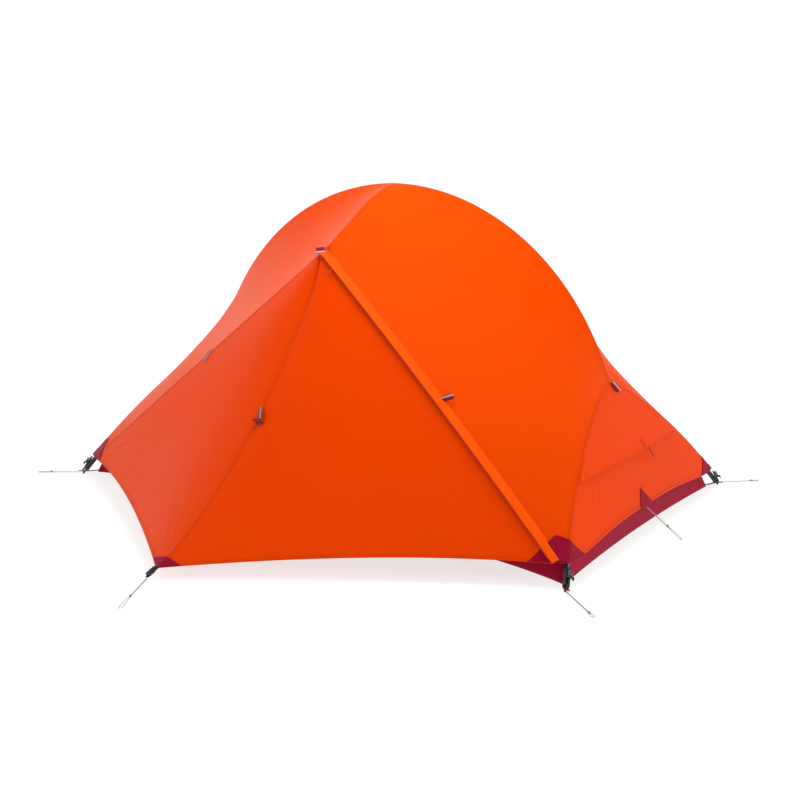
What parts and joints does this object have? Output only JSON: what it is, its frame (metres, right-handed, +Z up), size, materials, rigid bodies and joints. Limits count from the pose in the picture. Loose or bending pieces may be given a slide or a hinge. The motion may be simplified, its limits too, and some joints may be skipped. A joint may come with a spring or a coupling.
{
  "type": "tent on poles",
  "caption": "Pitched two-door backpacking tent: hubbed pole frame, clipped inner tent, and a rainfly with zipped vestibules, end vents and guylines.",
  "frame": {"origin": "on the ground, under the middle of the ridge pole", "axes": "+Z up, +X along the ridge pole towards the right end, -Y towards the front door"},
  "size_m": [2.5209, 3.062, 1.1808],
  "materials": {
    "fly_orange": "satin",
    "fly_door": "satin",
    "fly_end": "satin",
    "patch_crimson": "satin",
    "floor_crimson": "coated",
    "inner_ripstop": "matte",
    "inner_mesh": "matte",
    "zip_metal_red": "satin",
    "zip_tape": "matte",
    "webbing_black": "matte",
    "webbing_crimson": "matte",
    "guy_cord": "matte",
    "shock_cord": "matte",
    "black_plastic": "moulded",
    "bare_aluminium": "satin",
    "pole_grey": "anodised"
  },
  "bodies": {
    "root": {"ridge_pole_section_1": "pole_grey", "ridge_pole_section_2": "pole_grey", "ridge_pole_section_3": "pole_grey", "ridge_pole_section_4": "pole_grey", "ridge_pole_section_5": "pole_grey", "hub_right": "black_plastic", "hub_left": "black_plastic", "leg_pole_front_right": "pole_grey", "leg_pole_back_right": "pole_grey", "leg_pole_front_left": "pole_grey", "leg_pole_back_left": "pole_grey", "brow_pole_centre": "pole_grey", "brow_pole_ends": "pole_grey", "brow_swivel": "black_plastic", "pole_ferrules": "bare_aluminium", "shock_cords": "shock_cord", "pole_tips": "bare_aluminium", "foot_sleeves": "black_plastic", "inner_floor": "floor_crimson", "inner_canopy_right": "inner_ripstop", "inner_canopy_left": "inner_ripstop", "inner_wall_front": "inner_mesh", "inner_wall_back": "inner_mesh", "pole_clips": "black_plastic", "floor_corner_straps": "webbing_black", "fly_roof_front_right": "fly_orange", "fly_roof_front_left": "fly_orange", "fly_roof_back_left": "fly_orange", "fly_roof_back_right": "fly_orange", "fly_end_right": "fly_end", "fly_end_left": "fly_end", "vestibule_panel_front": "fly_door", "vestibule_panel_back": "fly_door", "zip_tapes": "zip_tape", "storm_flap_front": "fly_orange", "storm_flap_back": "fly_orange", "corner_patches": "patch_crimson", "fly_corner_straps": "webbing_black", "strap_buckles": "black_plastic", "guy_tabs": "webbing_crimson", "guyline_front_right": "guy_cord", "guyline_back_right": "guy_cord", "guyline_front_left": "guy_cord", "guyline_back_left": "guy_cord", "guyline_vestibule_front": "guy_cord", "guyline_vestibule_back": "guy_cord", "guyline_right_end": "guy_cord", "guyline_left_end": "guy_cord"},
    "inner_door_front": {"inner_door_front": "inner_mesh"},
    "inner_door_back": {"inner_door_back": "inner_mesh"},
    "inner_zip_front": {"inner_zip_pull_front": "zip_metal_red"},
    "inner_zip_back": {"inner_zip_pull_back": "zip_metal_red"},
    "vent_visor_right": {"vent_visor_right": "fly_end"},
    "vent_visor_left": {"vent_visor_left": "fly_end"},
    "door_front": {"door_front": "fly_door"},
    "door_back": {"door_back": "fly_door"},
    "zip_top_front": {"zip_top_slider_front": "zip_metal_red"},
    "zip_bottom_front": {"zip_bottom_slider_front": "zip_metal_red"},
    "zip_top_back": {"zip_top_slider_back": "zip_metal_red"},
    "zip_bottom_back": {"zip_bottom_slider_back": "zip_metal_red"}
  },
  "joints": [
    {"name": "door_front_swing", "type": "hinge", "parent": "root", "child": "door_front", "pos_m": [0, -0.455, 0.9512], "axis": [0, -0.6801, -0.7331], "range_deg": [0, 200]},
    {"name": "zip_top_front_slide", "type": "slide", "parent": "root", "child": "zip_top_front", "axis": [0.7681, -0.1249, -0.6281], "range_m": [0, 0.429]},
    {"name": "zip_bottom_front_slide", "type": "slide", "parent": "root", "child": "zip_bottom_front", "axis": [-0.7554, 0.1502, 0.6378], "range_m": [0, 0.76]},
    {"name": "inner_door_front_swing", "type": "hinge", "parent": "root", "child": "inner_door_front", "pos_m": [0, -0.559, 0.1197], "axis": [-1, 0, 0], "range_deg": [0, 90]},
    {"name": "inner_zip_front_turn", "type": "hinge", "parent": "root", "child": "inner_zip_front", "pos_m": [0, -0.5594, 0.1177], "axis": [0, -0.9821, 0.1886], "range_deg": [0, 177]},
    {"name": "door_back_swing", "type": "hinge", "parent": "root", "child": "door_back", "pos_m": [0, 0.455, 0.9512], "axis": [0, 0.6801, -0.7331], "range_deg": [0, 200]},
    {"name": "zip_top_back_slide", "type": "slide", "parent": "root", "child": "zip_top_back", "axis": [-0.7681, 0.1249, -0.6281], "range_m": [0, 0.429]},
    {"name": "zip_bottom_back_slide", "type": "slide", "parent": "root", "child": "zip_bottom_back", "axis": [0.7554, -0.1502, 0.6378], "range_m": [0, 0.76]},
    {"name": "inner_door_back_swing", "type": "hinge", "parent": "root", "child": "inner_door_back", "pos_m": [0, 0.559, 0.1197], "axis": [1, 0, 0], "range_deg": [0, 90]},
    {"name": "inner_zip_back_turn", "type": "hinge", "parent": "root", "child": "inner_zip_back", "pos_m": [0, 0.5594, 0.1177], "axis": [0, 0.9821, 0.1886], "range_deg": [0, 177]},
    {"name": "vent_visor_right_lift", "type": "hinge", "parent": "root", "child": "vent_visor_right", "pos_m": [0.9878, 0, 0.3413], "axis": [0, -1, 0], "range_deg": [0, 40]},
    {"name": "vent_visor_left_lift", "type": "hinge", "parent": "root", "child": "vent_visor_left", "pos_m": [-0.9878, 0, 0.3413], "axis": [0, 1, 0], "range_deg": [0, 40]}
  ]
}
